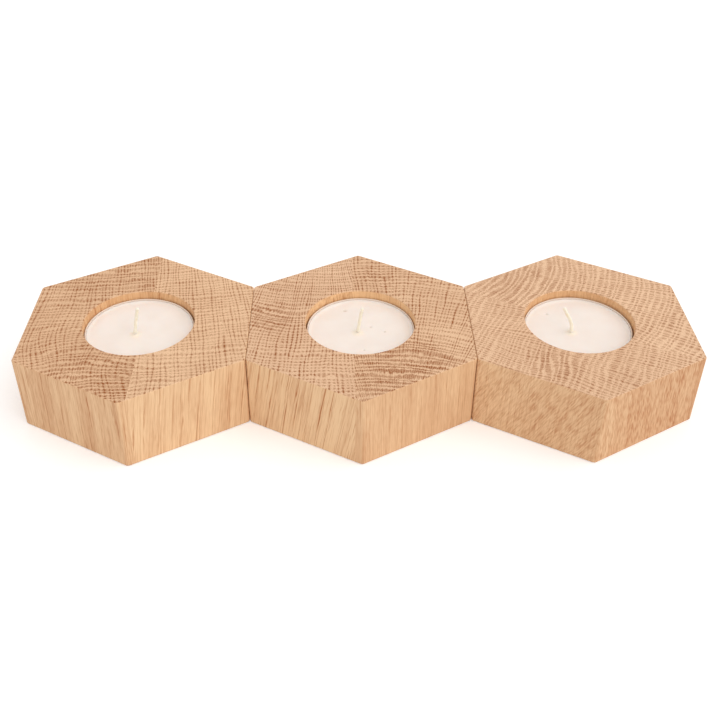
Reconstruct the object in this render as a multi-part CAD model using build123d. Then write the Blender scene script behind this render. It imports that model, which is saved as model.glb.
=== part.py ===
from build123d import *
import os

# Oak blocks: hexagonal prisms in a row, end grain up, flat to flat.
# A place in the row is a share of the pitch from block to block.
across_flats = 80.0
block_height = 28.0
corner_rounding = 1.5
edge_easing = 0.4
seam_gap = 0.12
row_place_shares = {"left": -1, "middle": 0, "right": 1}

# Round recess bored into the top of each block
recess_diameter = 40.0
recess_depth = 20.0
recess_rim_easing = 0.25

# Each block is glued up from two staves, and its glue line lies beside its axis,
# on the side that the turn names: a share of a full turn about the axis, from the right-hand flat.
glue_line_offset = 2.5
glue_line_turn_shares = {"left": 0, "middle": 1 / 2, "right": 2 / 3}

# Tealight cup: thin clear plastic, a little narrower at its base.
# It stands loose in the recess, off the recess's axis by a share of its clearance, to the right if positive.
cup_clearance = 0.4
cup_shift_shares = {"left": -0.3, "middle": 0.35, "right": -0.4}
cup_height = 17.0
cup_wall = 0.5
cup_taper = 0.6
cup_inner_corner = 0.8
cup_rim_rounding_share = 0.4

# Wax: poured to below the rim, drawn up a little at the wall and at the wick
wax_drop = 1.0
wax_shrinkage = 0.1
wax_creep = 0.5
wax_mound_height = 0.4
wax_mound_reach = 1.6

# Wick: upright in the wax, then bent over by its own amount on each tealight.
# A height is from the wax's level to the tip.
# An offset is where its foot stands from the cup's axis: to the right, then to the back.
# A lean is how far the tip stands to the right of the foot.
wick_diameter = 1.3
wick_bend_radius = 4.0
wick_heights = {"left": 11.6, "middle": 11.0, "right": 10.8}
wick_offsets = {"left": (-1.3, -2.2), "middle": (-1.1, -1.7), "right": (-2.8, -2.2)}
wick_leans = {"left": 2.2, "middle": 1.6, "right": -4.2}
wick_knee_shares = {"left": 0.15, "middle": 0.1, "right": 0.35}

# Wick tab: a stamped metal disc with a neck that grips the foot of the wick
tab_diameter = 13.0
tab_thickness = 0.3
tab_neck_wall = 0.35
tab_neck_height = 4.0
tab_grip_clearance = 0.05

# How far a cutting shape runs past the face that it opens
cut_overrun = 1.0

# Sizes that follow from those above
block_pitch = across_flats + seam_gap
recess_radius = recess_diameter / 2
recess_floor = block_height - recess_depth
cup_rim_radius = recess_radius - cup_clearance
cup_base_radius = cup_rim_radius - cup_taper
cup_inner_base_radius = cup_base_radius - cup_wall
cup_inner_rim_radius = cup_rim_radius - cup_wall
cup_inner_depth = cup_height - cup_wall
cup_outer_corner = cup_inner_corner + cup_wall
cup_rim_rounding = cup_wall * cup_rim_rounding_share
cup_inner_slope = (cup_inner_rim_radius - cup_inner_base_radius) / cup_inner_depth
wax_floor = cup_wall
wax_level = cup_height - wax_drop
wick_radius = wick_diameter / 2
tab_radius = tab_diameter / 2
tab_bore_radius = wick_radius + tab_grip_clearance
tab_neck_radius = tab_bore_radius + tab_neck_wall
tab_neck_top = tab_thickness + tab_neck_height


def standing_cylinder(radius, height, foot):
    """A cylinder on the Z axis that stands on the height called foot."""
    upright = (Align.CENTER, Align.CENTER, Align.MIN)
    return Pos(0, 0, foot) * Cylinder(radius, height, align=upright)


def turned_solid(outline):
    """The solid that an outline in the XZ plane sweeps about the Z axis."""
    return revolve(make_face(Plane.XZ * outline), Axis.Z)


def hexagonal_block():
    """One whole block with its corners rounded, its edges eased and its recess bored."""
    hexagon = RegularPolygon(across_flats / 2, 6, major_radius=False, rotation=90)
    prism = extrude(hexagon, block_height)
    prism = fillet(prism.edges().filter_by(Axis.Z), corner_rounding)
    by_height = prism.edges().group_by(Axis.Z)
    prism = fillet(by_height[0] + by_height[-1], edge_easing)
    block = prism - standing_cylinder(recess_radius, recess_depth + cut_overrun, recess_floor)
    rim = block.edges().filter_by(GeomType.CIRCLE).sort_by(Axis.Z)[-1]
    return chamfer(rim, recess_rim_easing)


def staves(block, turn_share):
    """The block's two staves, parted at the glue line."""
    aside = Vector(1, 0, 0).rotate(Axis.Z, 360 * turn_share)
    glue_face = Plane(origin=aside * glue_line_offset, z_dir=aside)
    return {
        "wide_stave": split(block, glue_face, keep=Keep.BOTTOM),
        "narrow_stave": split(block, glue_face, keep=Keep.TOP),
    }


def cup():
    """The tealight's open cup, standing on its base at height zero."""
    outer = turned_solid(
        Polyline(
            (0, 0),
            (cup_base_radius, 0),
            (cup_rim_radius, cup_height),
            (0, cup_height),
            close=True,
        )
    )
    outer = fillet(outer.edges().sort_by(Axis.Z)[0], cup_outer_corner)
    mouth_radius = cup_inner_rim_radius + cup_inner_slope * cut_overrun
    inner = turned_solid(
        Polyline(
            (0, cup_wall),
            (cup_inner_base_radius, cup_wall),
            (mouth_radius, cup_height + cut_overrun),
            (0, cup_height + cut_overrun),
            close=True,
        )
    )
    inner = fillet(inner.edges().sort_by(Axis.Z)[0], cup_inner_corner)
    shell = outer - inner
    rim_edges = shell.edges().filter_by_position(Axis.Z, cup_height, cup_height)
    return fillet(rim_edges, cup_rim_rounding)


def wick(height, lean, knee_share):
    """A round wick from the cup's floor to its tip, bent once above the wax."""
    knee = wax_level + height * knee_share
    path = FilletPolyline(
        (0, 0, wax_floor),
        (0, 0, knee),
        (lean, 0, wax_level + height),
        radius=wick_bend_radius,
    )
    foot = Pos(0, 0, wax_floor) * Circle(wick_radius)
    return sweep(foot, path)


def wick_tab():
    """The metal disc and neck on the cup's floor, with the wick's bore through both."""
    disc = standing_cylinder(tab_radius, tab_thickness, wax_floor)
    neck = standing_cylinder(tab_neck_radius, tab_neck_top, wax_floor)
    bore = standing_cylinder(tab_bore_radius, tab_neck_top + 2 * cut_overrun, wax_floor - cut_overrun)
    return disc + neck - bore


def wax_mound():
    """The low mound of wax round the foot of the wick, on the wax's level."""
    peak_radius = wick_radius + wax_shrinkage
    mound_radius = peak_radius + wax_mound_reach
    mound_top = wax_level + wax_mound_height
    outline = [
        Polyline((mound_radius, wax_level), (0, wax_level), (0, mound_top), (peak_radius, mound_top)),
        TangentArc((mound_radius, wax_level), (peak_radius, mound_top), tangent=(-1, 0)),
    ]
    return turned_solid(Curve() + outline)


def wax_rooms():
    """The room that the wax leaves for the wick, its tab and the tab's neck."""
    disc_room = standing_cylinder(tab_radius + wax_shrinkage, tab_thickness + wax_shrinkage, wax_floor)
    neck_room = standing_cylinder(tab_neck_radius + wax_shrinkage, tab_neck_top + wax_shrinkage, wax_floor)
    wick_room = standing_cylinder(wick_radius + wax_shrinkage, wax_level + cut_overrun, wax_floor)
    return disc_room + neck_room + wick_room


def wax(foot):
    """The wax in the cup, drawn up at the wall and round the wick, which stands at the place called foot."""
    creep_top = wax_level + wax_creep
    foot_radius = cup_inner_base_radius - wax_shrinkage
    edge_radius = foot_radius + cup_inner_slope * (creep_top - wax_floor)
    flat_radius = edge_radius - wax_creep
    outline = [
        Polyline(
            (flat_radius, wax_level),
            (0, wax_level),
            (0, wax_floor),
            (foot_radius, wax_floor),
            (edge_radius, creep_top),
        ),
        TangentArc((flat_radius, wax_level), (edge_radius, creep_top), tangent=(1, 0)),
    ]
    body = turned_solid(Curve() + outline)
    foot_edge = body.edges().filter_by(GeomType.CIRCLE).filter_by_position(Axis.Z, wax_floor, wax_floor)
    body = fillet(foot_edge, cup_inner_corner)
    return body + foot * wax_mound() - foot * wax_rooms()


def tealight(name):
    """The pieces of one tealight, standing on height zero."""
    across, back = wick_offsets[name]
    foot = Pos(across, back, 0)
    return {
        "cup": cup(),
        "wax": wax(foot),
        "wick": foot * wick(wick_heights[name], wick_leans[name], wick_knee_shares[name]),
        "wick_tab": foot * wick_tab(),
    }


def row_pieces():
    """Every piece of the row in its place, by node name."""
    pieces = {}
    block = hexagonal_block()
    for name, place_share in row_place_shares.items():
        place = Pos(place_share * block_pitch, 0, 0)
        seat = place * Pos(cup_clearance * cup_shift_shares[name], 0, recess_floor)
        for stave_name, stave in staves(block, glue_line_turn_shares[name]).items():
            pieces[f"{name}_block_{stave_name}"] = place * stave
        for piece_name, piece in tealight(name).items():
            pieces[f"{name}_tealight_{piece_name}"] = seat * piece
    return pieces


os.makedirs("parts", exist_ok=True)
for node, shape in row_pieces().items():
    export_step(shape, f"parts/{node}.step")
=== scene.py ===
"""A row of three hexagonal oak blocks, end grain up, each with a tealight in its recess.

The oak blocks, cups and wick tabs keep their CAD shapes and get their finishes here.
The wax and the wicks are new surfaces that stand for their plain CAD solids.
"""

import logging
import math
from collections.abc import Sequence
from dataclasses import dataclass
from enum import Enum
from functools import reduce
from typing import Any

import bpy
import numpy as np
from mathutils import Matrix, Vector


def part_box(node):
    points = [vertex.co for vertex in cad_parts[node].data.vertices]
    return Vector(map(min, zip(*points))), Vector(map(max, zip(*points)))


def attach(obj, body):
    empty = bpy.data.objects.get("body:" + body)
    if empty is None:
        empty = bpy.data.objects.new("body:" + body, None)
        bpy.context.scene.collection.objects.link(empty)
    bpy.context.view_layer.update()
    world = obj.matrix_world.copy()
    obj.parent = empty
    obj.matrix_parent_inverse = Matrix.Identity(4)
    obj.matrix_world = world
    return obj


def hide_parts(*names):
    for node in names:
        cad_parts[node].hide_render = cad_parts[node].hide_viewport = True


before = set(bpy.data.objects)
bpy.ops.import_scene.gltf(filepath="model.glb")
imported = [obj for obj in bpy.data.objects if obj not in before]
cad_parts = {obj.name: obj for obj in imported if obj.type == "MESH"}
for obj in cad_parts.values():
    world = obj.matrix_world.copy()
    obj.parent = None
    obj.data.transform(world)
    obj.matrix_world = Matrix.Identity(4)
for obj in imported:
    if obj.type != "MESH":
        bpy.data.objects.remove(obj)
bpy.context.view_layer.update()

LOG = logging.getLogger("tealight_row")
MM = 0.001
FULL_TURN = 2 * math.pi
Colour = tuple[float, float, float, float]
Number = "Value | float"
Place = tuple["Value", "Value", "Value"]


def linear(red: int, green: int, blue: int) -> Colour:
    """A colour as Blender stores it.

    Each screen level, from 0 to 255, goes through the sRGB curve: a straight foot, then a power of 2.4.

    Args:
        red: Screen level of red.
        green: Screen level of green.
        blue: Screen level of blue.

    Returns:
        The linear colour, with an alpha of 1.
    """
    level = np.array([red, green, blue]) / 255
    straight = level / 12.92
    curved = ((level + 0.055) / 1.055) ** 2.4
    return (*np.where(level <= 0.04045, straight, curved).tolist(), 1.0)


def blend(share: float, first: Colour, second: Colour) -> Colour:
    """The constant colour that lies a share of the way from the first colour to the second."""
    return tuple((np.array(first) * (1 - share) + np.array(second) * share).tolist())


class Block(Enum):
    """The three blocks of the row, by the names that their CAD nodes start with."""

    LEFT = "left"
    MIDDLE = "middle"
    RIGHT = "right"


class Slot(Enum):
    """The record's material slots."""

    OAK = "oak"
    CLEAR_CUP = "clear_cup"
    WAX = "wax"
    WICK = "wick"
    WICK_TAB = "wick_tab"


class Part(Enum):
    """The three parts of a place, in their order."""

    FIRST = 0
    SECOND = 1
    THIRD = 2


@dataclass(frozen=True)
class Pattern:
    """A random pattern of soft blotches.

    Attributes:
        sizes: Size of a blotch along each part of a place, in the place's own units.
        strength: How far the pattern swings, from end to end, where it swings about zero.
        seeded: The part of a place along which a seed moves the pattern.
        detail: How many layers of finer blotches it has.
        span: The part of its range that is stretched to run from 0 to 1.
    """

    sizes: tuple[float, float, float]
    strength: float = 1.0
    seeded: Part | None = None
    detail: float = 1.0
    span: tuple[float, float] | None = None


class Value:
    """A number on a node's socket, on which arithmetic adds Math nodes."""

    SMOOTH = {"interpolation_type": "SMOOTHSTEP"}

    def __init__(self, sheet: "NodeSheet", socket: bpy.types.NodeSocket) -> None:
        """Keeps the socket and the sheet that it is on."""
        self.sheet = sheet
        self.socket = socket

    def __add__(self, other: Number) -> "Value":
        """This plus other."""
        return self.sheet.maths("ADD", self, other)

    def __radd__(self, other: Number) -> "Value":
        """Other plus this."""
        return self.sheet.maths("ADD", other, self)

    def __sub__(self, other: Number) -> "Value":
        """This less other."""
        return self.sheet.maths("SUBTRACT", self, other)

    def __rsub__(self, other: Number) -> "Value":
        """Other less this."""
        return self.sheet.maths("SUBTRACT", other, self)

    def __mul__(self, other: Number) -> "Value":
        """This times other."""
        return self.sheet.maths("MULTIPLY", self, other)

    def __rmul__(self, other: Number) -> "Value":
        """Other times this."""
        return self.sheet.maths("MULTIPLY", other, self)

    def __truediv__(self, other: Number) -> "Value":
        """This divided by other."""
        return self.sheet.maths("DIVIDE", self, other)

    def __rtruediv__(self, other: Number) -> "Value":
        """Other divided by this."""
        return self.sheet.maths("DIVIDE", other, self)

    def __pow__(self, other: Number) -> "Value":
        """This to the power of other."""
        return self.sheet.maths("POWER", self, other)

    def __rpow__(self, other: Number) -> "Value":
        """Other to the power of this."""
        return self.sheet.maths("POWER", other, self)

    def __abs__(self) -> "Value":
        """This without its sign."""
        return self.sheet.maths("ABSOLUTE", self)

    def hypotenuse(self, other: "Value") -> "Value":
        """The square root of this squared plus other squared."""
        return self.sheet.maths("SQRT", self * self + other * other)

    def logarithm(self) -> "Value":
        """The natural logarithm."""
        return self.sheet.maths("LOGARITHM", self, math.e)

    def floor(self) -> "Value":
        """The whole number below."""
        return self.sheet.maths("FLOOR", self)

    def fraction(self) -> "Value":
        """What is over the whole number below."""
        return self.sheet.maths("FRACT", self)

    def angle_to(self, ahead: "Value") -> "Value":
        """The angle, in radians, whose sine goes with this and whose cosine goes with ahead."""
        return self.sheet.maths("ARCTAN2", self, ahead)

    def largest(self, other: Number) -> "Value":
        """The larger of this and other."""
        return self.sheet.maths("MAXIMUM", self, other)

    def wave(self) -> "Value":
        """A wave, 0 at whole numbers and 1 half way between them: half less half the cosine of full turns."""
        return 0.5 - 0.5 * self.sheet.maths("COSINE", self * FULL_TURN)

    def ramp(self, low: Number, high: Number) -> "Value":
        """A smooth step from 0 at low to 1 at high."""
        inputs = {"Value": self, "From Min": low, "From Max": high}
        return self.sheet.value(self.sheet.node("ShaderNodeMapRange", self.SMOOTH, inputs), "Result")

    def between(self, low: Number, high: Number) -> "Value":
        """The value this share of the way from low to high."""
        return low + (high - low) * self


class NodeSheet:
    """The nodes of one material or world, with short ways to add and join them."""

    def __init__(self, owner: bpy.types.Material | bpy.types.World) -> None:
        """Empties the owner's node tree.

        Args:
            owner: The material or world that the nodes belong to.
        """
        owner.use_nodes = True
        self.tree = owner.node_tree
        self.tree.nodes.clear()

    def node(
        self,
        kind: str,
        settings: dict[str, Any] | None = None,
        inputs: dict[str | int, Any] | None = None,
    ) -> bpy.types.Node:
        """Adds a node, sets it up and feeds its sockets.

        Args:
            kind: Blender's name for the node's type.
            settings: The node's own settings, which are set first.
            inputs: A value or a link for each socket, by name or number.

        Returns:
            The new node.
        """
        made = self.tree.nodes.new(kind)
        for name, setting in (settings or {}).items():
            setattr(made, name, setting)
        for key, entry in (inputs or {}).items():
            source = entry.socket if isinstance(entry, Value) else entry
            if isinstance(source, bpy.types.NodeSocket):
                self.tree.links.new(source, made.inputs[key])
            else:
                made.inputs[key].default_value = source
        return made

    def value(self, node: bpy.types.Node, output: str | int = 0) -> Value:
        """One of a node's outputs as a number."""
        return Value(self, node.outputs[output])

    def maths(self, operation: str, *terms: Number) -> Value:
        """The result of one Math node on the terms."""
        return self.value(self.node("ShaderNodeMath", {"operation": operation}, dict(enumerate(terms))))

    def vector(self, *terms: Number) -> bpy.types.NodeSocket:
        """Three numbers joined into a vector."""
        return self.node("ShaderNodeCombineXYZ", None, dict(enumerate(terms))).outputs[0]

    def parts(self, vector: bpy.types.NodeSocket) -> Place:
        """A vector or colour taken apart into three numbers."""
        node = self.node("ShaderNodeSeparateXYZ", None, {0: vector})
        return self.value(node, 0), self.value(node, 1), self.value(node, 2)

    def object_place(self) -> Place:
        """The shaded point in the row's frame, in mm."""
        across, back, height = self.parts(self.node("ShaderNodeTexCoord").outputs["Object"])
        return across / MM, back / MM, height / MM

    def facing_up(self) -> Value:
        """How far the surface faces up or down: 1 on level faces, 0 on upright ones."""
        return abs(self.parts(self.node("ShaderNodeTexCoord").outputs["Normal"])[2])

    def noise(self, pattern: Pattern, place: Sequence[Number], seed: float = 0.0) -> bpy.types.Node:
        """Blender's noise in a pattern's sizes.

        Each part of the place is divided by the pattern's size there, and the seed is added to one of them.

        Args:
            pattern: The pattern.
            place: The shaded point.
            seed: Moves the pattern.

        Returns:
            The noise node.
        """
        scaled = [part / size for part, size in zip(place, pattern.sizes)]
        if pattern.seeded is not None:
            scaled[pattern.seeded.value] += seed
        inputs = {"Vector": self.vector(*scaled), "Scale": 1.0, "Detail": pattern.detail}
        return self.node("ShaderNodeTexNoise", {"noise_dimensions": "3D"}, inputs)

    def cloud(self, pattern: Pattern, place: Sequence[Number], seed: float = 0.0) -> Value:
        """A pattern's noise at a place, from 0 to 1, stretched by its span if it has one."""
        plain = self.value(self.noise(pattern, place, seed), "Fac")
        return plain.ramp(*pattern.span) if pattern.span else plain

    def swing(self, pattern: Pattern, place: Sequence[Number], seed: float = 0.0) -> Value:
        """A pattern's noise at a place, about zero and times its strength."""
        return (self.cloud(pattern, place, seed) - 0.5) * pattern.strength

    def mixed(
        self,
        share: Number,
        first: Colour | bpy.types.NodeSocket,
        second: Colour | bpy.types.NodeSocket,
    ) -> bpy.types.NodeSocket:
        """The colour that lies a share of the way from the first colour to the second."""
        inputs = {0: share, 6: first, 7: second}
        return self.node("ShaderNodeMix", {"data_type": "RGBA"}, inputs).outputs[2]

    def relief(self, height: Value, depth: float, strength: float) -> bpy.types.NodeSocket:
        """The normal of a surface that stands up by depth, in mm, where height is 1."""
        inputs = {"Height": height, "Distance": depth * MM, "Strength": strength}
        return self.node("ShaderNodeBump", None, inputs).outputs[0]

    def surface(self, **sockets: Any) -> None:
        """Ends a material with a Principled shader.

        Args:
            sockets: A value or a link for each socket, named with underscores for spaces.
        """
        inputs = {name.replace("_", " "): entry for name, entry in sockets.items()}
        shader = self.node("ShaderNodeBsdfPrincipled", None, inputs)
        self.node("ShaderNodeOutputMaterial", None, {"Surface": shader.outputs[0]})


class Finish:
    """What every finish has in common."""

    def material(self, name: str) -> bpy.types.Material:
        """Makes a material with this finish.

        Args:
            name: The material's name.

        Returns:
            The new material.
        """
        made = bpy.data.materials.new(name)
        self.paint(NodeSheet(made))
        return made

    def paint(self, sheet: NodeSheet) -> None:
        """Lays the finish on a material's nodes, which each kind of finish does in its own way."""
        raise NotImplementedError


@dataclass(frozen=True)
class Growth:
    """Where a shaded point lies among a stave's growth rings and rays.

    Attributes:
        rings: Growth rings counted from the block's axis.
        rays: Rays counted from the block's axis.
        along: Distance across the rings, in mm.
        arc: Distance along the rings, in mm.
        zone: How far the rings stand out there.
    """

    rings: Value
    rays: Value
    along: Value
    arc: Value
    zone: Value

    def off_middle(self) -> Value:
        """How far the point is from the middle of its ring: 0 there, and 1 between two rings."""
        return abs(self.rings.fraction() - 0.5) * 2


@dataclass(frozen=True)
class Spot:
    """A round spot on a block or on a cup's wax, with lengths in mm.

    Attributes:
        across: Its place to the right of the block's or cup's axis.
        back: Its place to the back of that axis.
        reach: How far it reaches.
    """

    across: float
    back: float
    reach: float

    def fade(self, distance: Value, span: tuple[float, float]) -> Value:
        """1 near the spot's middle and 0 far from it, with a smooth step between two shares of its reach."""
        return 1 - distance.ramp(span[0] * self.reach, span[1] * self.reach)


@dataclass(frozen=True)
class BandZone(Spot):
    """A patch of end grain where the growth rings stand out.

    Attributes:
        strength: How far the rings stand out, from 0 to 1.
    """

    strength: float


@dataclass(frozen=True)
class Swell(Spot):
    """A place where the growth rings bulge.

    Attributes:
        bulge: How far it pushes the rings towards the pith, in mm.
    """

    bulge: float


@dataclass(frozen=True)
class Rings:
    """The growth rings of one stave. Lengths are in mm.

    Attributes:
        pith: Where the tree's centre would be, across and back from the block's axis.
        width: Width of a growth ring at the block's axis.
        growth: How much wider each ring is than the last, away from the pith, as a share.
        bend: How far the rings are bent out of their circles.
        dark: Darkness of the pore rows outside the zones.
        light_share: Share of a ring that is light outside the zones.
        swells: Where the rings bulge.
    """

    pith: tuple[float, float]
    width: float
    growth: float
    bend: float
    dark: float
    light_share: float
    swells: tuple[Swell, ...] = ()


@dataclass(frozen=True)
class Rays:
    """The medullary rays of one stave. Lengths are in mm.

    Attributes:
        width: Spacing of the rays.
        dotting: How far the rays break the pore rows into dots outside the zones, from 0 to 1.
        dark: Darkness of the long lines beside the strongest rays.
        rarity: How few rays have such a line: most do at 0.35, and hardly any at 0.65.
    """

    width: float
    dotting: float
    dark: float
    rarity: float


@dataclass(frozen=True)
class Fibres:
    """What shows of one stave's fibres on its upright faces.

    Attributes:
        lean: How far the fibres lean, across and back, per mm of height.
        streak: Darkness of the long vessel lines, which also strengthens the broad tone.
        fleck: Darkness of the short flecks.
        tone: Added to the darkness of the outer faces.
        painted_shade_drift: Painted shade, added to that tone for each mm to the right of the block's axis,
            that darkens the right-hand faces which the key light brightens.
        bore_tone: Added to the darkness of the recess's wall.
        fleck_lean: How far the flecks lean to the right, per mm of height, along the front left face and
            along the front right one.
    """

    lean: tuple[float, float]
    streak: float
    fleck: float
    tone: float
    painted_shade_drift: float = 0.0
    bore_tone: float = 0.0
    fleck_lean: tuple[float, float] = (0.0, 0.0)


@dataclass(frozen=True)
class StaveGrain:
    """How one stave was cut from its tree.

    Attributes:
        rings: Its growth rings.
        rays: Its medullary rays.
        fibres: Its upright faces.
        zones: Where the growth rings stand out.
        tone: Added to the darkness of the end grain.
        paleness: Share of the way from the usual light colour of the end grain to a paler, pinker one.
        seed: Moves the random patterns, apart from the pores and the flecks.
    """

    rings: Rings
    rays: Rays
    fibres: Fibres
    zones: tuple[BandZone, ...]
    tone: float
    paleness: float
    seed: float


@dataclass(frozen=True)
class OakFinish(Finish):
    """Bare sanded oak, worked out through the whole stave so that its faces match at their edges.

    Attributes:
        grain: How the stave was cut.
        axis: Where the block's axis stands along the row, in mm.
        top: Height of the block's top, in mm.
    """

    grain: StaveGrain
    axis: float
    top: float

    # Colours, roughness of light and dark wood, and the depth of the relief, in mm, with its strength
    LIGHT_END = linear(247, 207, 166)
    PALE_END = linear(250, 211, 175)
    DARK_END = linear(147, 81, 30)
    LIGHT_LONG = linear(238, 199, 155)
    DARK_LONG = linear(169, 92, 35)
    LIGHT_BORE = linear(243, 199, 149)
    ROUGHNESS = (0.52, 0.74)
    RELIEF = (0.12, 0.3)

    # How far up a face looks where long grain gives way to end grain
    LEVEL_SPAN = (0.45, 0.8)

    # Where the more golden colour of the recess's wall ends, in mm from the block's axis
    BORE_EDGE = (20.3, 20.8)

    # How the rings bend, are uneven and zigzag, and how the rays stray
    BEND = Pattern((15, 15, 60), seeded=Part.FIRST, detail=2.0)
    UNEVEN = Pattern((5, 60, 90), 2.2, Part.FIRST)
    ZIGZAG = Pattern((3, 0.8, 40), 0.45, Part.SECOND, detail=0.0)
    STRAY = Pattern((22, 4, 40), 2.0, Part.SECOND)

    # The zones' ragged edges and fading, in shares of their reach, and the pore rows and ray lines in them
    RAGGED = Pattern((6, 6, 1), 10.0, Part.FIRST)
    ZONE_FADE = (0.5, 1.3)
    ZONE_DARK = (0.33, 0.75)
    ZONE_LIGHT_SHARE = 0.4
    ZONE_DOTTING = 0.35
    ZONE_RAY_SHARE = 0.5

    # What differs in end grain from ring to ring, ray to ray and dot to dot, its pores and its broad tone
    EACH_RING = Pattern((1 / 0.9, 11, 60), seeded=Part.FIRST, span=(0.28, 0.72))
    EACH_RAY = Pattern((1 / 1.37, 26, 60), seeded=Part.FIRST)
    EACH_DOT = Pattern((1 / 0.7, 1 / 0.6, 60), seeded=Part.SECOND, span=(0.3, 0.7))
    PORES = Pattern((0.4, 0.4, 6), detail=0.0, span=(0.45, 0.8))
    END_TONE = Pattern((20, 20, 80), 0.28, Part.SECOND)

    # How far the light share differs from dot to dot, and how softly a pore row starts
    DOT_SHARE = 0.45
    ROW_FADE = 0.26

    # Half the width of a ray line, in rays, and how softly the rays that have one are chosen
    LINE_REACH = 0.22
    RARITY_FADE = 0.08

    # Darkness of a pore row, from ring to ring and what its dots add, of a pore, and of plain end grain
    RING_DARK = (0.4, 0.9)
    DOT_DARK = 0.6
    PORE_DARK = 0.28
    END_DARK = 0.01

    # On upright faces the waver of the fibres, vessel lines, fibres, threads, fleck patches, flecks and tone
    WAVER = Pattern((2, 2, 5), 0.6, Part.FIRST)
    VESSEL = Pattern((0.42, 0.42, 24), seeded=Part.SECOND, span=(0.45, 0.68))
    FIBRE = Pattern((0.3, 0.3, 4), 0.3, Part.THIRD, detail=0.0)
    THREAD = Pattern((0.9, 0.9, 16), 0.2, Part.SECOND)
    PATCH = Pattern((4, 4, 24), seeded=Part.FIRST, span=(0.34, 0.68))
    FLECK = Pattern((0.56, 0.56, 3), span=(0.34, 0.74))
    LONG_TONE = Pattern((4.5, 4.5, 40), 0.15, Part.FIRST)

    # How the lines strengthen the tone, where pore rows come out, and how far lines show outside and in one
    STREAKED_TONE = 5.0
    ROW_SPAN = (0.5, 1.0)
    VESSEL_IN_ROW = (0.4, 1.0)

    # How flecks show outside and in a patch, what a patch itself adds, and darkness of a plain upright face
    FLECK_IN_PATCH = (0.75, 1.15)
    PATCH_DARK = 0.25
    LONG_DARK = 0.14

    # The front corner, in mm from the axis, and how a front face runs across and back per mm along it
    FRONT_CORNER = (-0.1, 0.1)
    FACE_ACROSS = math.cos(math.pi / 6)
    FACE_BACK = math.sin(math.pi / 6)

    def paint(self, sheet: NodeSheet) -> None:
        """Lays end grain on level faces and long grain on upright ones, with dark wood rougher and lower.

        Args:
            sheet: The material's nodes.
        """
        fibres = self.grain.fibres
        place = self.fibre_place(sheet)
        growth = self.growth(sheet, place)
        end = self.end_grain(sheet, place, growth)
        bored = self.bored(sheet)
        # The outer faces' tone, with painted shade that grows to the right, against the key light, where a
        # stave has it
        outer_tone_and_shade = place[0] * fibres.painted_shade_drift + fibres.tone
        long = self.long_grain(sheet, place, growth) + bored.between(outer_tone_and_shade, fibres.bore_tone)
        level = sheet.facing_up().ramp(*self.LEVEL_SPAN)
        darkness = level.between(long, end)
        light_end = blend(self.grain.paleness, self.LIGHT_END, self.PALE_END)
        light_long = sheet.mixed(bored, self.LIGHT_LONG, self.LIGHT_BORE)
        long_colour = sheet.mixed(long, light_long, self.DARK_LONG)
        end_colour = sheet.mixed(end, light_end, self.DARK_END)
        sheet.surface(
            Base_Color=sheet.mixed(level, long_colour, end_colour),
            Roughness=darkness.between(*self.ROUGHNESS),
            Normal=sheet.relief(1 - darkness, *self.RELIEF),
            Specular_IOR_Level=0.3,
        )

    def bored(self, sheet: NodeSheet) -> Value:
        """1 on the recess's wall, which is coloured more golden, and 0 outside it."""
        across, back, _ = sheet.object_place()
        return 1 - (across - self.axis).hypotenuse(back).ramp(*self.BORE_EDGE)

    def fibre_place(self, sheet: NodeSheet) -> Place:
        """The shaded point carried along its fibre to the block's top.

        The place across and back is less the fibre's lean times the height above the top.

        Args:
            sheet: The material's nodes.

        Returns:
            The place across and back from the block's axis, and the height above its top, in mm.
        """
        across, back, height = sheet.object_place()
        rise = height - self.top
        lean_across, lean_back = self.grain.fibres.lean
        return across - self.axis - lean_across * rise, back - lean_back * rise, rise

    def about_pith(self, across: Value, back: Value) -> tuple[Value, Value]:
        """Where a place lies in the tree.

        The distance across the rings is the place's distance from the pith less the axis's own. The distance
        along them is the angle about the pith, from the axis, times the axis's distance.

        Args:
            across: Place across, in mm.
            back: Place back, in mm.

        Returns:
            The distances across and along the rings, in mm.
        """
        pith_across, pith_back = self.grain.rings.pith
        distance = math.hypot(pith_across, pith_back)
        ahead_across, ahead_back = -pith_across / distance, -pith_back / distance
        from_across = across - pith_across
        from_back = back - pith_back
        ahead = from_across * ahead_across + from_back * ahead_back
        aside = from_back * ahead_across - from_across * ahead_back
        return ahead.hypotenuse(aside) - distance, aside.angle_to(ahead) * distance

    def growth(self, sheet: NodeSheet, place: Place) -> Growth:
        """Counts the growth rings and rays from the block's axis to the shaded point.

        For the rings the point is first moved a little by a broad noise, which bends them, and the swells
        push it along and across them. The ring count is the logarithm of 1 plus growth times the distance
        across the rings over the ring width, divided by growth, so that each ring is wider than the last by
        the growth. A slow noise makes some rings wide and others narrow, and a fine one makes them zigzag
        from ray to ray. The ray count is the distance along the rings over the ray width, with a slow noise.

        Args:
            sheet: The material's nodes.
            place: The place across, back and above the top, in mm.

        Returns:
            The counts, the distances and the zone there.
        """
        across, back, rise = place
        rings = self.grain.rings
        seed = self.grain.seed
        bend = sheet.noise(self.BEND, place, seed)
        bend_across, bend_back, _ = sheet.parts(bend.outputs["Color"])
        along, arc = self.about_pith(across, back)
        bent_across = across + (bend_across - 0.5) * rings.bend
        bent_back = back + (bend_back - 0.5) * rings.bend
        bent_along, _ = self.about_pith(bent_across, bent_back)
        for swell in rings.swells:
            push, turn = self.swell(swell, across, back)
            bent_along = bent_along + push
            arc = arc + turn
        even = (1 + bent_along * (rings.growth / rings.width)).logarithm() / rings.growth
        in_tree = (along, arc, rise)
        uneven = sheet.swing(self.UNEVEN, in_tree, seed)
        zigzag = sheet.swing(self.ZIGZAG, in_tree, seed)
        ray_count = arc / self.grain.rays.width + sheet.swing(self.STRAY, in_tree, seed)
        return Growth(even + uneven + zigzag, ray_count, along, arc, self.zone(sheet, across, back))

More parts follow.
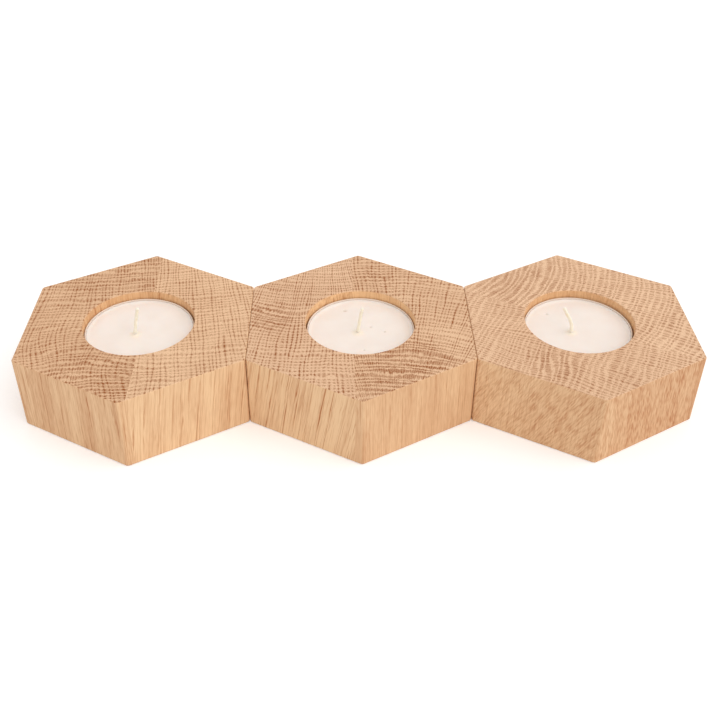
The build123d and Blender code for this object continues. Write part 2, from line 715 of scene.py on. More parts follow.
    def swell(self, swell: Swell, across: Value, back: Value) -> tuple[Value, Value]:
        """How far a swell moves a place.

        Across the rings it is a bell curve about the swell's middle. Along them it is that curve times the
        place's distances from the middle both ways, as shares of the reach, which keeps the rays square to
        the rings.

        Args:
            swell: The swell.
            across: Place across, in mm.
            back: Place back, in mm.

        Returns:
            The moves across and along the rings, in mm.
        """
        pith_across, pith_back = self.grain.rings.pith
        away = Vector((swell.across - pith_across, swell.back - pith_back)).normalized()
        aside = across - swell.across
        behind = back - swell.back
        outward = (aside * away.x + behind * away.y) / swell.reach
        sideways = (behind * away.x - aside * away.y) / swell.reach
        push = math.e ** ((outward * outward + sideways * sideways) * -0.5) * swell.bulge
        return push, push * outward * sideways

    def zone(self, sheet: NodeSheet, across: Value, back: Value) -> Value:
        """How far the rings stand out at a place: a zone's strength inside it, fading to 0 past its reach.

        Args:
            sheet: The material's nodes.
            across: Place across, in mm.
            back: Place back, in mm.

        Returns:
            The largest of the zones' strengths there.
        """
        ragged = sheet.swing(self.RAGGED, (across, back, 0.0), self.grain.seed)
        strengths = []
        for zone in self.grain.zones:
            distance = (across - zone.across).hypotenuse(back - zone.back) + ragged
            strengths.append(zone.fade(distance, self.ZONE_FADE) * zone.strength)
        return reduce(Value.largest, strengths)

    def end_grain(self, sheet: NodeSheet, place: Place, growth: Growth) -> Value:
        """Darkness of the end grain: dark pore rows along the rings, dotted by light rays, and ray lines.

        A ring is light near its middle, over the light share of its width, which differs from dot to dot.
        Elsewhere it is dark, by an amount that differs from ring to ring and from dot to dot, and most of
        all half way between two rays. The strongest rays have a thin dark line beside them. In a zone the
        rows are wider, darker and less broken, and the lines are fainter.

        Args:
            sheet: The material's nodes.
            place: The place across, back and above the top, in mm.
            growth: The counts there.

        Returns:
            The darkness, from 0 to 1.
        """
        rise = place[2]
        rings = self.grain.rings
        rays = self.grain.rays
        seed = self.grain.seed
        zone = growth.zone
        each_ring = sheet.cloud(self.EACH_RING, (growth.rings, growth.arc, rise), seed)
        each_ray = sheet.cloud(self.EACH_RAY, (growth.rays.floor(), growth.along, rise), seed)
        each_dot = sheet.cloud(self.EACH_DOT, (growth.rings, growth.rays, rise), seed)
        light_share = zone.between(rings.light_share, self.ZONE_LIGHT_SHARE)
        light_share = light_share + (each_dot - 0.5) * self.DOT_SHARE
        row = growth.off_middle().ramp(light_share - self.ROW_FADE, light_share + self.ROW_FADE)
        dotting = zone.between(rays.dotting, self.ZONE_DOTTING)
        broken = 1 - dotting * (1 - growth.rays.wave())
        line = 1 - abs(growth.rays.fraction() - 0.5).ramp(0.0, self.LINE_REACH)
        line = line * each_ray.ramp(rays.rarity - self.RARITY_FADE, rays.rarity + self.RARITY_FADE)
        line_dark = zone.between(1.0, self.ZONE_RAY_SHARE) * rays.dark
        open_dark = rings.dark * (each_ring.between(*self.RING_DARK) + each_dot * self.DOT_DARK)
        row_dark = zone.between(open_dark, each_ring.between(*self.ZONE_DARK))
        pores = sheet.cloud(self.PORES, place) * self.PORE_DARK
        tone = sheet.swing(self.END_TONE, place, seed) + self.grain.tone
        return row * broken * row_dark + line * line_dark + pores + tone + self.END_DARK

    def long_grain(self, sheet: NodeSheet, place: Place, growth: Growth) -> Value:
        """Darkness of the upright faces: vessel lines, fine fibres and threads, flecks and a broad tone.

        Each is a noise that changes quickly across the fibres and slowly along them. The lines, fibres and
        threads waver a little, and the lines are darkest where the pore rows come out. The flecks are where a
        face cuts the rays at a low angle, and lie in patches.

        Args:
            sheet: The material's nodes.
            place: The place across, back and above the top, in mm.
            growth: The counts there.

        Returns:
            The darkness, from 0 to 1.
        """
        across, back, rise = place
        fibres = self.grain.fibres
        seed = self.grain.seed
        wavy = (across + sheet.swing(self.WAVER, place, seed), back, rise)
        row = growth.off_middle().ramp(*self.ROW_SPAN)
        lines = sheet.cloud(self.VESSEL, wavy, seed) * row.between(*self.VESSEL_IN_ROW) * fibres.streak
        fibre = sheet.swing(self.FIBRE, wavy, seed)
        thread = sheet.swing(self.THREAD, wavy, seed)
        leaning = self.fleck_place(place)
        patch = sheet.cloud(self.PATCH, leaning, seed)
        fleck = sheet.cloud(self.FLECK, leaning)
        flecks = fleck * patch.between(*self.FLECK_IN_PATCH) + patch * self.PATCH_DARK
        tone = sheet.swing(self.LONG_TONE, place, seed) * (1 + self.STREAKED_TONE * fibres.streak)
        return lines + fibre + thread + flecks * fibres.fleck + tone + self.LONG_DARK

    def fleck_place(self, place: Place) -> Place:
        """A place carried along its flecks to the block's top.

        The flecks lean along the front left face on the left of the axis, and along the front right one on
        the right. The place across and back is less that lean times the height above the top.

        Args:
            place: The place across, back and above the top, in mm.

        Returns:
            The place across and back, and the height above the top, in mm.
        """
        across, back, rise = place
        on_left, on_right = self.grain.fibres.fleck_lean
        right_side = across.ramp(*self.FRONT_CORNER)
        lean_across = right_side.between(on_left, on_right) * self.FACE_ACROSS
        lean_back = right_side.between(-on_left, on_right) * self.FACE_BACK
        return across - lean_across * rise, back - lean_back * rise, rise


@dataclass(frozen=True)
class ClearCupFinish(Finish):
    """Thin clear moulded plastic, tinted warm partly as painted reflection of the wood, whose rim catches the
    light as a painted milky highlight.

    Attributes:
        rim: Height of the cup's rim, in mm.
    """

    rim: float

    # Slightly warm whites, warmed further as painted reflection of the wood seen through the plastic
    PLASTIC_AND_WOOD_REFLECTION = linear(251, 235, 221)
    FLOW_MARK_AND_WOOD_REFLECTION = linear(243, 223, 206)
    MARKS = Pattern((3, 3, 7), detail=2.0)

    # How far below the rim the milky painted highlight starts, in mm, and the opacity there and at the rim,
    # and of a mark
    RIM_REACH = 1.6
    OPACITY = (0.3, 0.8)
    MARK_OPACITY = 0.1
    ROUGHNESS = (0.1, 0.25)
    RELIEF = (0.05, 0.1)

    def paint(self, sheet: NodeSheet) -> None:
        """Lays plastic that is see-through below and milky at the rim as a painted highlight, with faint flow
        marks, in warm whites that are partly painted reflection of the wood.

        Args:
            sheet: The material's nodes.
        """
        place = sheet.object_place()
        marks = sheet.cloud(self.MARKS, place)
        # The milky rim is a painted highlight: opacity that rises towards the rim
        painted_rim_light = place[2].ramp(self.rim - self.RIM_REACH, self.rim)
        sheet.surface(
            Base_Color=sheet.mixed(marks, self.PLASTIC_AND_WOOD_REFLECTION, self.FLOW_MARK_AND_WOOD_REFLECTION),
            Roughness=marks.between(*self.ROUGHNESS),
            Alpha=painted_rim_light.between(*self.OPACITY) + marks * self.MARK_OPACITY,
            Normal=sheet.relief(marks, *self.RELIEF),
        )


@dataclass(frozen=True)
class Pit(Spot):
    """A small dirty dent that a bubble left in the wax.

    Attributes:
        depth: How deep it is, in mm.
    """

    depth: float


@dataclass(frozen=True)
class WaxFinish(Finish):
    """Poured candle wax: warm white, soft satin, yellower where the wick's own wax has run.

    Attributes:
        axis: Where the cup's axis stands, across and back, in mm.
        foot: Where the wick stands, across and back, in mm.
        pits: Dents that hold a little dirt.
    """

    axis: tuple[float, float]
    foot: tuple[float, float]
    pits: tuple[Pit, ...]

    WHITE = linear(248, 237, 228)
    CREAM = linear(242, 227, 215)
    YELLOW = linear(249, 233, 208)
    DIRT = linear(205, 186, 166)
    CLOUDS = Pattern((7, 7, 7), detail=2.0)
    SPECKS = Pattern((0.6, 0.6, 0.6))

    # Where the yellow fades out, in mm from the wick, and how much of it shows
    YELLOW_FADE = (0.7, 3.2)
    YELLOW_SHARE = 0.7

    # Where the dirt fades out, in shares of its pit's reach
    DIRT_FADE = (0.2, 1.4)

    # Height of the clouds against that of the specks
    CLOUD_HEIGHT = 2
    ROUGHNESS = (0.36, 0.5)
    RELIEF = (0.05, 0.12)

    def paint(self, sheet: NodeSheet) -> None:
        """Lays two warm whites in soft clouds, a yellow tinge near the wick and dirt in the pits.

        Args:
            sheet: The material's nodes.
        """
        place = sheet.object_place()
        clouds = sheet.cloud(self.CLOUDS, place)
        specks = sheet.cloud(self.SPECKS, place)
        near = 1 - self.distance(place, self.foot).ramp(*self.YELLOW_FADE)
        colour = sheet.mixed(clouds, self.WHITE, self.CREAM)
        colour = sheet.mixed(near * self.YELLOW_SHARE, colour, self.YELLOW)
        for pit in self.pits:
            middle = self.axis[0] + pit.across, self.axis[1] + pit.back
            dirt = pit.fade(self.distance(place, middle), self.DIRT_FADE)
            colour = sheet.mixed(dirt * specks, colour, self.DIRT)
        sheet.surface(
            Base_Color=colour,
            Roughness=clouds.between(*self.ROUGHNESS),
            Normal=sheet.relief(specks + clouds * self.CLOUD_HEIGHT, *self.RELIEF),
            Subsurface_Weight=0.3,
            Subsurface_Radius=(1.0, 0.8, 0.65),
            Subsurface_Scale=1.2 * MM,
        )

    def distance(self, place: Place, middle: tuple[float, float]) -> Value:
        """The level distance of the shaded point from a middle, in mm."""
        return (place[0] - middle[0]).hypotenuse(place[1] - middle[1])


class WickFinish(Finish):
    """Braided cotton soaked in wax."""

    CREAM = linear(255, 239, 221)
    BUFF = linear(253, 231, 207)
    FIBRES = Pattern((0.16, 0.16, 0.7), detail=2.0)
    BUFF_SPAN = (0.3, 0.75)
    ROUGHNESS = (0.7, 0.9)
    RELIEF = (0.05, 0.2)

    def paint(self, sheet: NodeSheet) -> None:
        """Lays two creams in fine fibres that run along the wick, softened by the wax in it.

        Args:
            sheet: The material's nodes.
        """
        fibres = sheet.cloud(self.FIBRES, sheet.object_place())
        sheet.surface(
            Base_Color=sheet.mixed(fibres.ramp(*self.BUFF_SPAN), self.CREAM, self.BUFF),
            Roughness=fibres.between(*self.ROUGHNESS),
            Normal=sheet.relief(fibres, *self.RELIEF),
            Specular_IOR_Level=0.2,
            Subsurface_Weight=1.0,
            Subsurface_Radius=(1.0, 0.95, 0.88),
            Subsurface_Scale=1.5 * MM,
        )


class WickTabFinish(Finish):
    """Thin stamped steel, with the marks of the roll that it was cut from."""

    LIGHT = linear(214, 213, 210)
    DARK = linear(186, 185, 182)
    MARKS = Pattern((6, 0.2, 0.2), detail=2.0)
    ROUGHNESS = (0.25, 0.45)
    RELIEF = (0.01, 0.3)

    def paint(self, sheet: NodeSheet) -> None:
        """Lays a metal whose gloss changes quickly across the roll's marks and slowly along them.

        Args:
            sheet: The material's nodes.
        """
        marks = sheet.cloud(self.MARKS, sheet.object_place())
        sheet.surface(
            Base_Color=sheet.mixed(marks, self.LIGHT, self.DARK),
            Roughness=marks.between(*self.ROUGHNESS),
            Normal=sheet.relief(marks, *self.RELIEF),
            Metallic=1.0,
        )


class Surface:
    """A closed surface on a grid of points, ready to become a mesh."""

    def __init__(self, points: np.ndarray, closed_rows: bool) -> None:
        """Joins a grid of points into faces.

        Each face joins a point to the next point of its row and to the two beside them in the next row. Rows
        run round, so the last point of a row joins the first. Where the rows themselves don't close, a point
        at the middle of the first and last rows closes the ends.

        Args:
            points: The points, as rows by columns by three, in metres.
            closed_rows: Whether the last row joins the first.
        """
        rows, columns, _ = points.shape
        self.points = points.reshape(-1, 3)
        row, column = np.meshgrid(np.arange(rows - (not closed_rows)), np.arange(columns), indexing="ij")
        start = row * columns
        after = (row + 1) % rows * columns
        beside = (column + 1) % columns
        corners = (start + column, start + beside, after + beside, after + column)
        self.quads = np.stack(corners, axis=-1).reshape(-1, 4)
        self.caps = np.empty((0, 3), dtype=int)
        if not closed_rows:
            self.close_end(np.arange(columns)[::-1])
            self.close_end((rows - 1) * columns + np.arange(columns))
        if self.volume() < 0:
            self.quads = self.quads[:, ::-1]
            self.caps = self.caps[:, ::-1]

    def close_end(self, rim: np.ndarray) -> None:
        """Closes a rim with triangles to a new point at its middle.

        Args:
            rim: The numbers of the rim's points, in order.
        """
        middle = np.full_like(rim, len(self.points))
        self.points = np.vstack([self.points, self.points[rim].mean(axis=0)])
        self.caps = np.vstack([self.caps, np.stack([rim, np.roll(rim, -1), middle], axis=-1)])

    def volume(self) -> float:
        """The volume inside, which is below zero where the faces point inwards.

        It is a sixth of the sum, over all triangles, of the first corner's dot product with the cross product
        of the other two.

        Returns:
            The volume, in cubic metres.
        """
        triangles = np.vstack([self.quads[:, [0, 1, 2]], self.quads[:, [0, 2, 3]], self.caps])
        first, second, third = (self.points[corner] for corner in triangles.T)
        return float(np.sum(first * np.cross(second, third))) / 6

    def piece(
        self, name: str, node: str, body: str, slot: Slot, material: bpy.types.Material
    ) -> bpy.types.Object:
        """Makes the piece that stands for a CAD node.

        Args:
            name: The piece's name.
            node: The CAD node that it stands for.
            body: The body that it moves with.
            slot: The record's material slot; not used.
            material: Its finish.

        Returns:
            The new object.
        """
        mesh = bpy.data.meshes.new(name)
        mesh.from_pydata(self.points.tolist(), [], self.quads.tolist() + self.caps.tolist())
        mesh.polygons.foreach_set("use_smooth", np.ones(len(mesh.polygons), dtype=bool))
        mesh.materials.append(material)
        mesh.update()
        made = bpy.data.objects.new(name, mesh)
        bpy.context.scene.collection.objects.link(made)
        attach(made, body)
        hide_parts(node)
        LOG.info("%s: %d faces, stands for %s", name, len(mesh.polygons), node)
        return made


@dataclass(frozen=True)
class Tealight:
    """One tealight. Lengths are in mm.

    Attributes:
        block: The block that it stands in.
        knee_share: Height of the wick's bend above the wax, as a share of what shows of it.
        pits: Dents in the wax.
        seed: Moves the wax's gentle unevenness.
        cup_taper: How much narrower the cup is inside at its floor than at its rim, on the radius.
        wall_cling: How much closer to the wall the poured wax stands than its CAD solid.
        wax_corner: Rounding of the wax's lower edge.
        creep: How far the wax is drawn up at the wall.
        creep_reach: How far from the wall that starts.
        mound_height: How far the wax is drawn up at the wick.
        mound_reach: How far from the wick that starts.
        unevenness: Height of each of the slow waves on the wax.
        neck_radius: Radius of the room in the wax for the wick tab's neck.
        tab_thickness: Thickness of the wick tab's disc.
        tab_room: Room in the wax over the wick tab.
        wick_radius: Radius of the wick.
        wick_bend: Length over which the wick bends.
        strand_pitch: Height in which a strand of the wick's braid goes once round.
        strand_depth: Depth between two strands, as a share of the wick's radius.
        tip_rounding: Length of the wick's rounded tip.
        tip_drop: How far below the CAD wick's highest point the tip ends.
        foot_sink: How far the wax's hole is narrower than the wick, so that no gap shows.
    """

    block: Block
    knee_share: float
    pits: tuple[Pit, ...]
    seed: int
    cup_taper: float = 0.6
    wall_cling: float = 0.08
    wax_corner: float = 0.8
    creep: float = 0.5
    creep_reach: float = 1.5
    mound_height: float = 0.5
    mound_reach: float = 3.0
    unevenness: float = 0.05
    neck_radius: float = 1.15
    tab_thickness: float = 0.3
    tab_room: float = 0.1
    wick_radius: float = 0.65
    wick_bend: float = 1.6
    strand_pitch: float = 3.4
    strand_depth: float = 0.16
    tip_rounding: float = 0.5
    tip_drop: float = 0.125
    foot_sink: float = 0.15

    # Points and rows of the grids
    AROUND = 240
    TOP_ROWS = 110
    SIDE_ROWS = 8
    CORNER_ROWS = 7
    WICK_ROWS = 260
    WICK_AROUND = 36

    # Strands of the braid each way, and how far round its quarter circle the tip goes
    STRANDS = 3
    TIP_END = 0.95

    # Slow waves on the wax, and the shortest and longest, in mm
    WAVES = 5
    WAVE_LENGTHS = (9, 22)

    def node(self, piece: str) -> str:
        """The CAD node of one of its pieces."""
        return f"{self.block.value}_tealight_{piece}"

    def box(self, piece: str) -> tuple[np.ndarray, np.ndarray]:
        """The lowest and highest corner of one of its CAD nodes, in mm."""
        low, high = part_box(self.node(piece))
        return np.array(low) / MM, np.array(high) / MM

    def middle(self, piece: str) -> np.ndarray:
        """The middle of one of its CAD nodes, across and back, in mm."""
        low, high = self.box(piece)
        return (low + high)[:2] / 2

    @property
    def level(self) -> float:
        """Height of the wax, away from the wall and the wick, in mm."""
        return float(self.box("wax")[1][2]) - self.creep

    def build(self) -> None:
        """Makes the wax and the wick, and dresses the cup and the wick tab."""
        body = f"{self.block.value}_tealight"
        axis = self.middle("cup")
        foot = self.middle("wick_tab")
        wax_name = self.node("wax_poured")
        wax = WaxFinish(tuple(axis.tolist()), tuple(foot.tolist()), self.pits).material(wax_name)
        self.wax(axis, foot).piece(wax_name, self.node("wax"), body, Slot.WAX, wax)
        wick_name = self.node("wick_braided")
        wick = WickFinish().material(wick_name)
        self.wick(foot).piece(wick_name, self.node("wick"), body, Slot.WICK, wick)
        cup = ClearCupFinish(float(self.box("cup")[1][2])).material(self.node("cup"))
        dress(self.node("cup"), cup, Slot.CLEAR_CUP)
        dress(self.node("wick_tab"), WickTabFinish().material(self.node("wick_tab")), Slot.WICK_TAB)

    def wax(self, axis: np.ndarray, foot: np.ndarray) -> Surface:
        """The wax, as a closed outline that is carried round.

        The outline runs over the top from the wick's hole to the wall, down the wall, round the lower corner,
        along the underside and up the rooms for the tab, its neck and the wick. Its circles are round the
        wick's foot at the hole and round the cup's axis at the wall, and on the top they move from the one to
        the other.

        Args:
            axis: The cup's axis, across and back, in mm.
            foot: Where the wick stands, across and back, in mm.

        Returns:
            The wax's surface.
        """
        low, high = self.box("wax")
        cup_rim = self.box("cup")[1][2]
        tab_low, tab_high = self.box("wick_tab")
        floor = low[2]
        slope = self.cup_taper / (cup_rim - floor)
        edge = (high[0] - low[0]) / 2 + self.wall_cling
        hole = self.wick_radius - self.foot_sink
        side = np.linspace(high[2], floor + self.wax_corner, self.SIDE_ROWS)[1:]
        turn = np.linspace(0, math.pi / 2, self.CORNER_ROWS)[1:]
        lower_edge = edge - slope * (high[2] - floor)
        corner_radius = lower_edge - self.wax_corner * (1 - np.cos(turn))
        wall_radius = np.concatenate([edge - slope * (high[2] - side), corner_radius])
        wall_height = np.concatenate([side, floor + self.wax_corner * (1 - np.sin(turn))])
        tab_radius = (tab_high[0] - tab_low[0]) / 2 + self.tab_room
        neck_top = tab_high[2] + self.tab_room
        tab_top = floor + self.tab_thickness + self.tab_room
        room_radius = np.array([tab_radius, tab_radius, self.neck_radius, self.neck_radius, hole, hole])
        room_height = np.array([floor, tab_top, tab_top, neck_top, neck_top, self.level])
        share = np.linspace(0, 1, self.TOP_ROWS)
        angle = np.linspace(0, FULL_TURN, self.AROUND, endpoint=False)
        around = np.stack([np.cos(angle), np.sin(angle)], axis=-1)
        top = foot + hole * around + share[:, None, None] * (axis - foot + (edge - hole) * around)
        wall = axis + wall_radius[:, None, None] * around
        rooms = foot + room_radius[:, None, None] * around
        plan = np.concatenate([top, wall, rooms])
        top_height = self.level + self.relief(top, axis, foot, edge)
        lower_height = np.concatenate([wall_height, room_height])
        up = np.concatenate([top_height, np.repeat(lower_height[:, None], self.AROUND, axis=1)])
        return Surface(np.dstack([plan, up]) * MM, closed_rows=True)

    def relief(self, plan: np.ndarray, axis: np.ndarray, foot: np.ndarray, edge: float) -> np.ndarray:
        """How far the wax's top stands above its level.

        It climbs the wall by the square of what is left to it within reach, and the wick by the fourth power.
        A few slow sine waves and the pits, each a bell-shaped dent, fade out at the wall and at the wick.

        Args:
            plan: Places on the top, in mm.
            axis: The cup's axis, in mm.
            foot: Where the wick stands, in mm.
            edge: Radius of the wax's edge, in mm.

        Returns:
            The height above the level at each place, in mm.
        """
        off_wall = edge - np.linalg.norm(plan - axis, axis=-1)
        off_wick = np.linalg.norm(plan - foot, axis=-1) - self.wick_radius
        creep = np.clip(1 - off_wall / self.creep_reach, 0, 1) ** 2 * self.creep
        mound = np.clip(1 - off_wick / self.mound_reach, 0, 1) ** 4 * self.mound_height
        draw = np.random.default_rng(self.seed)
        waves = np.zeros(plan.shape[:2])
        for _ in range(self.WAVES):
            direction = draw.uniform(0, FULL_TURN)
            length = draw.uniform(*self.WAVE_LENGTHS)
            ahead = plan @ np.array([math.cos(direction), math.sin(direction)])
            waves += np.sin(FULL_TURN * ahead / length + draw.uniform(0, FULL_TURN))
        dents = np.zeros(plan.shape[:2])
        for pit in self.pits:
            near = np.linalg.norm(plan - axis - np.array([pit.across, pit.back]), axis=-1) / pit.reach
            dents += pit.depth * np.exp(-(near**2))
        open_top = np.clip(off_wall / self.creep_reach, 0, 1) * np.clip(off_wick / self.mound_reach, 0, 1)
        return creep + mound + (waves * self.unevenness - dents) * open_top

    def wick(self, foot: np.ndarray) -> Surface:
        """The wick, as a braided round section carried along its bent path.

        The path's shift to the right is a hyperbola: flat below the knee and straight above it. The section's
        radius falls between two sets of crossing strands that wind opposite ways, and shrinks as a quarter
        circle at the tip.

        Args:
            foot: Where the wick stands, in mm.

        Returns:
            The wick's surface.
        """
        low, high = self.box("wick")
        lean = low[0] + high[0] - 2 * foot[0]
        tip = high[2] - self.tip_drop
        knee = self.level + self.knee_share * (tip - self.level)
        height = np.linspace(low[2], tip, self.WICK_ROWS)
        above = height - knee
        shift = lean / (tip - knee) * (above + np.sqrt(above**2 + self.wick_bend**2)) / 2
        tilt = np.gradient(shift, height)
        length = np.sqrt(1 + tilt**2)
        angle = np.linspace(0, FULL_TURN, self.WICK_AROUND, endpoint=False)
        wind = FULL_TURN * height[:, None] / self.strand_pitch
        strand = np.maximum(np.cos(self.STRANDS * angle + wind), np.cos(self.STRANDS * angle - wind))
        end = np.clip(1 - (tip - height) / self.tip_rounding, 0, self.TIP_END)
        valley = self.strand_depth * (1 - strand) / 2
        radius = self.wick_radius * (1 - valley) * np.sqrt(1 - end**2)[:, None]
        sideways = radius * np.cos(angle)
        points = np.stack(
            [
                foot[0] + shift[:, None] + sideways / length[:, None],
                foot[1] + radius * np.sin(angle),
                height[:, None] - sideways * (tilt / length)[:, None],
            ],
            axis=-1,
        )
        return Surface(points * MM, closed_rows=False)


def dress(node: str, material: bpy.types.Material, slot: Slot) -> None:
    """Gives a CAD node its finish.

    Args:
        node: The CAD node.
        material: Its finish.
        slot: The record's material slot.
    """
    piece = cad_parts[node]
    piece.data.materials.clear()
    piece.data.materials.append(material)
    LOG.info("%s: dressed as %s", node, slot.value)


@dataclass(frozen=True)
class OakBlock:
    """One hexagonal block, glued up from two staves.

    Attributes:
        block: Which block of the row it is.
        wide: The grain of its wide stave.
        narrow: The grain of its narrow stave.
    """

    block: Block
    wide: StaveGrain
    narrow: StaveGrain

    def build(self) -> None:
        """Dresses both staves."""
        wide_node = f"{self.block.value}_block_wide_stave"
        narrow_node = f"{self.block.value}_block_narrow_stave"
        corners = [corner for node in (wide_node, narrow_node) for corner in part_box(node)]
        low = np.min(corners, axis=0) / MM
        high = np.max(corners, axis=0) / MM
        axis = float(low[0] + high[0]) / 2
        for node, grain in ((wide_node, self.wide), (narrow_node, self.narrow)):
            dress(node, OakFinish(grain, axis, float(high[2])).material(node), Slot.OAK)


@dataclass(frozen=True)
class Studio:
    """The floor, the light and the camera. Lengths are in mm and angles in degrees.

    Attributes:
        focal_pixels: The camera's focal length, in pixels of the 720-pixel picture.
        place: Where the camera stands.
        fall: How far it looks down.
        turn: How far it is turned to the right.
        roll: How far it is rolled.
    """

    focal_pixels: float = 980.11
    place: tuple[float, float, float] = (-8.14, -292.4, 231.78)
    fall: float = 37.144
    turn: float = 1.6
    roll: float = 0.707

    PICTURE = 720
    SENSOR = 36.0
    FLOOR_HALF = 6000.0
    FLOOR_DROP = 0.1
    FLOOR_COLOUR = linear(250, 249, 248)
    FLOOR_GLOW = 0.18
    SKY = 0.72
    KEY_STRENGTH = 1.25
    KEY_SPREAD = 75.0
    KEY_FROM = (0.5, -0.35, 0.8)

    def build(self) -> None:
        """Makes the floor, the world, the key light and the camera."""
        self.floor()
        self.world()
        self.key_light()
        self.camera()

    def seen(self, sheet: NodeSheet) -> Value:
        """Tells the rays that show the background: straight from the camera, mirrored or through plastic.

        Args:
            sheet: The nodes of the floor or the world.

        Returns:
            1 for those rays and 0 for the others.
        """
        path = sheet.node("ShaderNodeLightPath")
        straight = sheet.value(path, "Is Camera Ray")
        mirrored = sheet.value(path, "Is Glossy Ray")
        through = sheet.value(path, "Is Transmission Ray")
        return straight.largest(mirrored).largest(through)

    def floor(self) -> None:
        """A wide pale floor that takes the row's shadow and glows a little where it is seen."""
        half = self.FLOOR_HALF * MM
        drop = -self.FLOOR_DROP * MM
        mesh = bpy.data.meshes.new("floor")
        corners = [(-half, -half, drop), (half, -half, drop), (half, half, drop), (-half, half, drop)]
        mesh.from_pydata(corners, [], [(0, 1, 2, 3)])
        material = bpy.data.materials.new("floor")
        sheet = NodeSheet(material)
        plain = sheet.node("ShaderNodeBsdfDiffuse", None, {"Color": self.FLOOR_COLOUR})
        glow = sheet.node("ShaderNodeEmission", None, {"Strength": self.seen(sheet) * self.FLOOR_GLOW})
        both = sheet.node("ShaderNodeAddShader", None, {0: plain.outputs[0], 1: glow.outputs[0]})
        sheet.node("ShaderNodeOutputMaterial", None, {"Surface": both.outputs[0]})
        mesh.materials.append(material)
        made = bpy.data.objects.new("floor", mesh)
        bpy.context.scene.collection.objects.link(made)

    def world(self) -> None:
        """An even white sky, plain white where it is seen and dimmer where it lights the row."""
        made = bpy.data.worlds.new("studio")
        sheet = NodeSheet(made)
        strength = self.seen(sheet).between(self.SKY, 1.0)
        sky = sheet.node("ShaderNodeBackground", None, {"Color": (1.0, 1.0, 1.0, 1.0), "Strength": strength})
        sheet.node("ShaderNodeOutputWorld", None, {"Surface": sky.outputs[0]})
        bpy.context.scene.world = made

    def key_light(self) -> None:
        """A broad soft light from the right, a little in front."""
        lamp = bpy.data.lights.new("key", "SUN")
        lamp.energy = self.KEY_STRENGTH
        lamp.angle = math.radians(self.KEY_SPREAD)
        made = bpy.data.objects.new("key", lamp)
        made.rotation_mode = "QUATERNION"
        made.rotation_quaternion = Vector(self.KEY_FROM).to_track_quat("Z", "Y")
        bpy.context.scene.collection.objects.link(made)

    def camera(self) -> None:
        """The camera, at the place and angle that the picture was taken from."""
        fall, turn, roll = (math.radians(angle) for angle in (self.fall, self.turn, self.roll))
        ahead = Vector((math.sin(turn) * math.cos(fall), math.cos(turn) * math.cos(fall), -math.sin(fall)))
        level_right = Vector((math.cos(turn), -math.sin(turn), 0))
        level_up = level_right.cross(ahead)
        right = level_right * math.cos(roll) + level_up * math.sin(roll)
        up = level_up * math.cos(roll) - level_right * math.sin(roll)
        lens = bpy.data.cameras.new("camera")
        lens.sensor_width = self.SENSOR
        lens.lens = self.focal_pixels / self.PICTURE * self.SENSOR
        lens.clip_start = MM
        made = bpy.data.objects.new("camera", lens)
        turned = Matrix((right, up, -ahead)).transposed().to_4x4()
        made.matrix_world = Matrix.Translation(Vector(self.place) * MM) @ turned
        bpy.context.scene.collection.objects.link(made)
        bpy.context.scene.camera = made


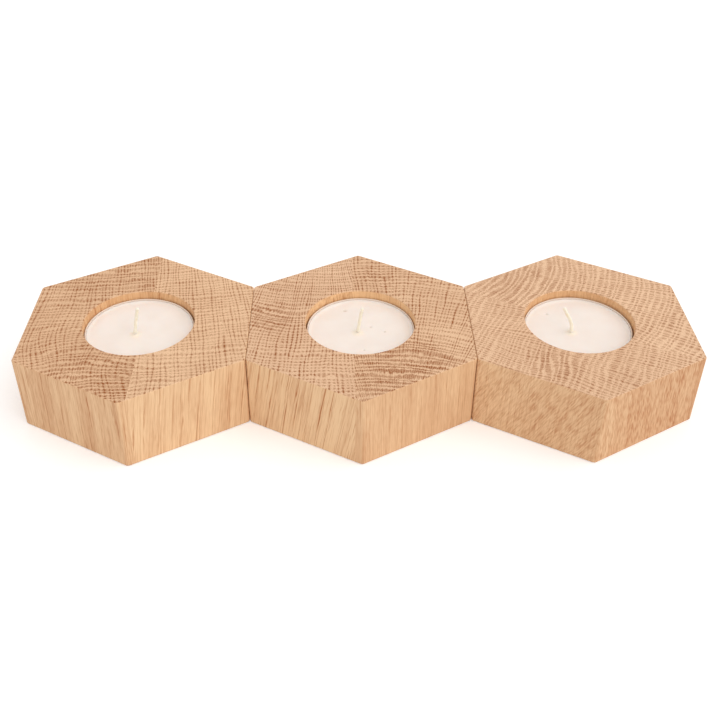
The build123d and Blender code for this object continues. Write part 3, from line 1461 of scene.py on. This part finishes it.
BLOCKS = (
    OakBlock(
        Block.LEFT,
        wide=StaveGrain(
            Rings(
                pith=(-42, 297), width=2.18, growth=-0.0157, bend=4.4, dark=0.41, light_share=0.46,
                swells=(Swell(-19, -18, reach=11, bulge=6),),
            ),
            Rays(width=1.3, dotting=0.72, dark=0.28, rarity=0.5),
            Fibres(lean=(0.04, 0.0), streak=0.52, fleck=0.08, tone=0.02, bore_tone=0.03),
            zones=(BandZone(-15, 27, reach=24, strength=0.3), BandZone(-11, -33, reach=19, strength=0.55)),
            tone=0.255, paleness=0.0, seed=1.3,
        ),
        narrow=StaveGrain(
            Rings(pith=(-20, 300), width=1.95, growth=0.002, bend=3.0, dark=0.38, light_share=0.54),
            Rays(width=1.36, dotting=0.65, dark=0.33, rarity=0.47),
            Fibres(lean=(0.121, 0.07), streak=0.56, fleck=0.03, tone=-0.07, bore_tone=0.03),
            zones=(BandZone(22, 10, reach=9, strength=0.35), BandZone(9, -33, reach=6, strength=0.5)),
            tone=0.15, paleness=0.0, seed=4.7,
        ),
    ),
    OakBlock(
        Block.MIDDLE,
        wide=StaveGrain(
            Rings(pith=(8, -85), width=2.12, growth=-0.001, bend=3.0, dark=0.45, light_share=0.5),
            Rays(width=1.12, dotting=0.8, dark=0.46, rarity=0.53),
            Fibres(lean=(-0.02, -0.012), streak=0.36, fleck=0.05, tone=0.08, bore_tone=-0.1),
            zones=(BandZone(16, -28, reach=20, strength=0.95), BandZone(13, 35, reach=17, strength=0.5)),
            tone=0.21, paleness=0.25, seed=8.2,
        ),
        narrow=StaveGrain(
            Rings(
                pith=(-14, 110), width=2.0, growth=-0.004, bend=3.6, dark=0.47, light_share=0.5,
                swells=(Swell(-24, 0, reach=9, bulge=-3),),
            ),
            Rays(width=1.15, dotting=0.85, dark=0.4, rarity=0.53),
            Fibres(lean=(0.16, -0.092), streak=0.8, fleck=0.06, tone=-0.13, bore_tone=-0.1),
            zones=(BandZone(-32, 2, reach=10, strength=0.9), BandZone(-16, -20, reach=7, strength=0.4)),
            tone=0.21, paleness=0.5, seed=12.6,
        ),
    ),
    OakBlock(
        Block.RIGHT,
        wide=StaveGrain(
            Rings(pith=(-64, 50), width=2.1, growth=-0.002, bend=2.8, dark=0.42, light_share=0.38),
            Rays(width=1.3, dotting=0.82, dark=0.22, rarity=0.5),
            Fibres(lean=(0.0, 0.0), streak=0.16, fleck=0.2, tone=0.22, fleck_lean=(0.1, -0.2)),
            zones=(BandZone(-17, 26, reach=20, strength=0.45), BandZone(32, 0, reach=14, strength=0.1)),
            tone=0.135, paleness=0.5, seed=17.1,
        ),
        narrow=StaveGrain(
            Rings(
                pith=(-290, 118), width=2.0, growth=-0.002, bend=3.0, dark=0.36, light_share=0.38,
                swells=(Swell(-12, -18, reach=10, bulge=5.4),),
            ),
            Rays(width=1.3, dotting=0.82, dark=0.22, rarity=0.5),
            # Painted shade darkens this stave's right-hand faces, which the key light brightens
            Fibres(
                lean=(0.03, 0.0), streak=0.22, fleck=0.35, tone=0.02, painted_shade_drift=0.0028, fleck_lean=(0.46, -0.16),
            ),
            zones=(BandZone(-14, -28, reach=11, strength=0.6), BandZone(-28, -4, reach=9, strength=0.1)),
            tone=0.175, paleness=0.5, seed=23.4,
        ),
    ),
)

TEALIGHTS = (
    Tealight(Block.LEFT, knee_share=0.15, pits=(), seed=3),
    Tealight(
        Block.MIDDLE,
        knee_share=0.1,
        pits=(
            Pit(-5.7, 12.6, reach=0.8, depth=0.3),
            Pit(3.8, 2.1, reach=0.5, depth=0.3),
            Pit(8.8, -1.1, reach=0.5, depth=0.25),
            Pit(1.0, -12.5, reach=0.4, depth=0.2),
        ),
        seed=5,
    ),
    Tealight(Block.RIGHT, knee_share=0.35, pits=(Pit(-9.7, 10.1, reach=0.5, depth=0.3),), seed=9),
)


def main() -> None:
    """Dresses the blocks, makes the tealights and sets up the studio."""
    logging.basicConfig(level=logging.INFO, format="%(name)s: %(message)s")
    bpy.context.scene.view_settings.view_transform = "Standard"
    for block in BLOCKS:
        block.build()
    for tealight in TEALIGHTS:
        tealight.build()
    Studio().build()


if __name__ == "__main__":
    main()
